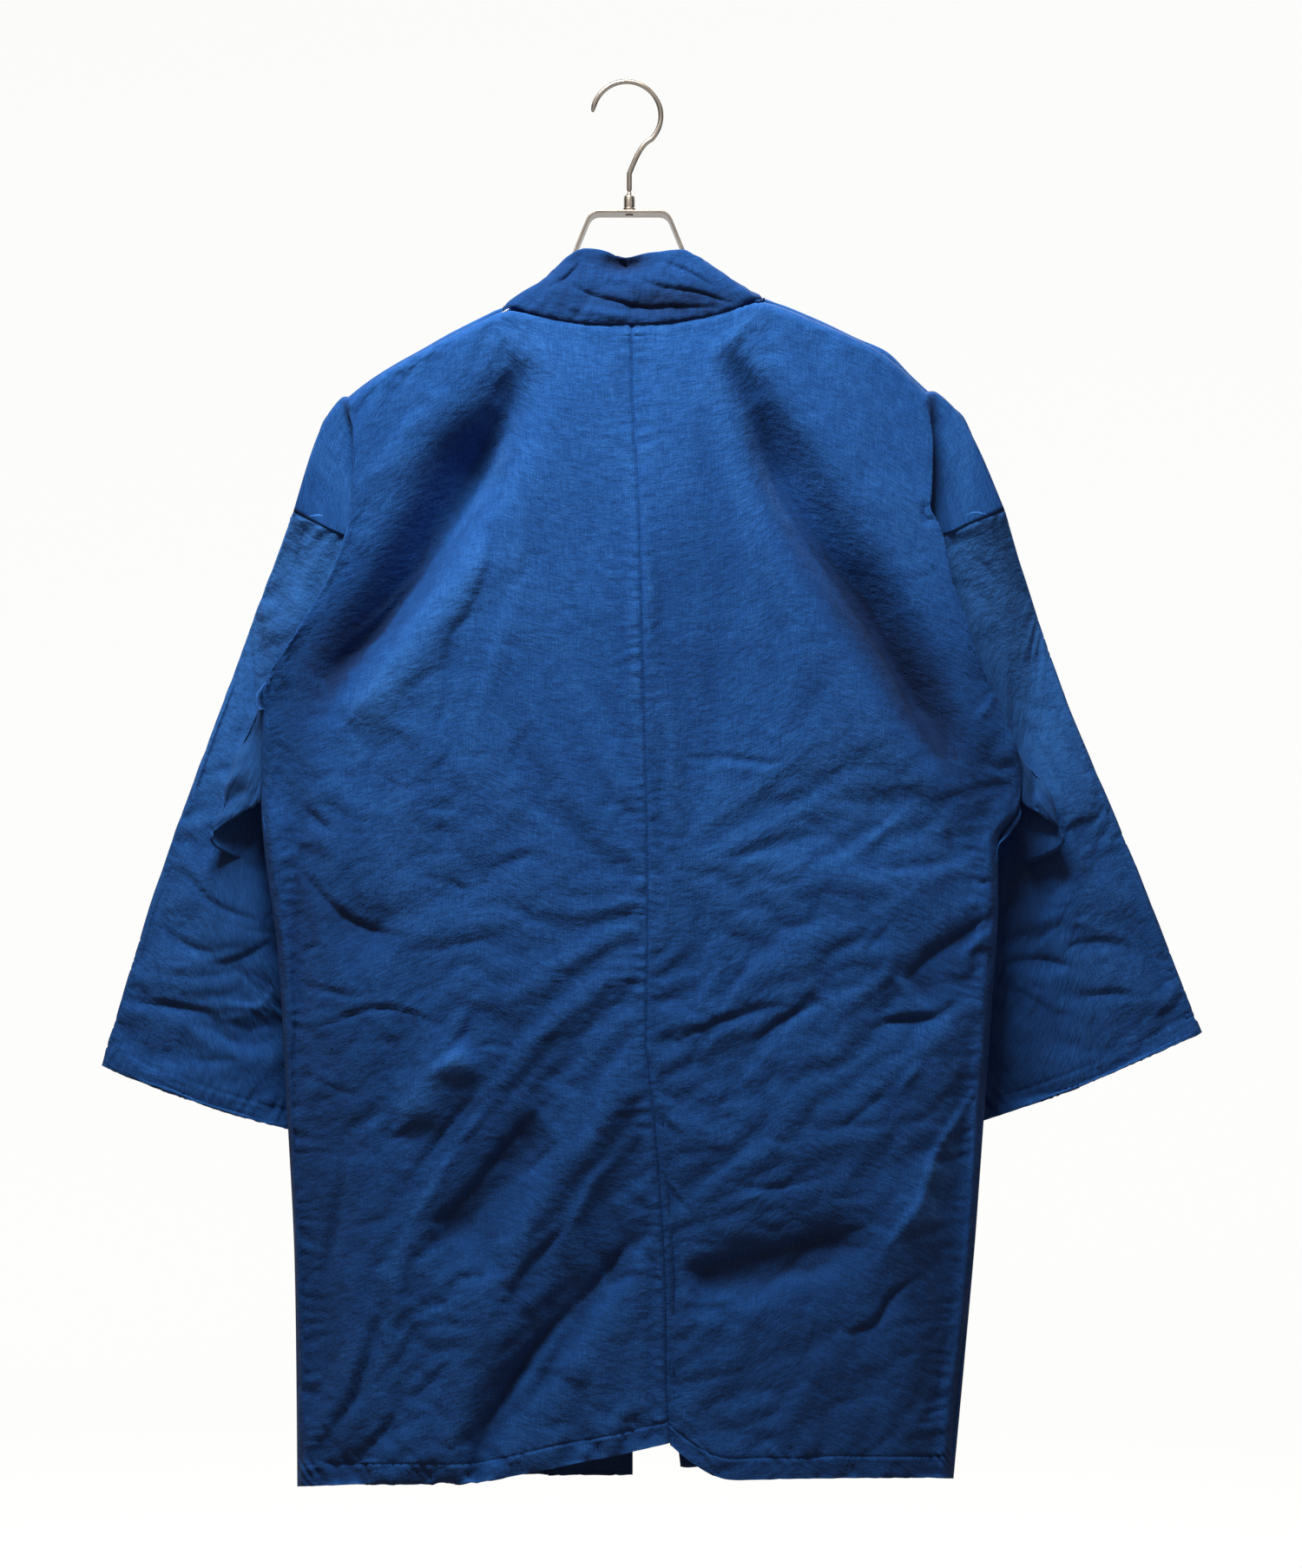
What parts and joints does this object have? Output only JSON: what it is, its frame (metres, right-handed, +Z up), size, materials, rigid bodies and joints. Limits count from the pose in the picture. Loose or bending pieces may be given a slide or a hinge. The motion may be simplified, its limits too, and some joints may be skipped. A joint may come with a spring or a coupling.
{
  "type": "happi coat on a hanger",
  "caption": "Hip-length happi coat in plain indigo cotton, hanging open on a flat-strip metal hanger with a wire hook.",
  "frame": {"origin": "inner top of the hook's bow, where a rail carries it", "axes": "+Z up, +X across the coat, -Y out of the coat's back, +Y out of its front"},
  "size_m": [0.8372, 0.0942, 1.0699],
  "materials": {
    "indigo_cotton": "matte slub-weave cotton",
    "satin_nickel": "satin nickel plate"
  },
  "bodies": {
    "root": {"back_left": "indigo_cotton", "back_right": "indigo_cotton", "front_left": "indigo_cotton", "front_right": "indigo_cotton", "sleeve_left": "indigo_cotton", "sleeve_right": "indigo_cotton", "collar_band": "indigo_cotton", "hanger_hook": "satin_nickel", "hanger_ferrule": "satin_nickel", "hanger_strip": "satin_nickel"}
  },
  "joints": []
}
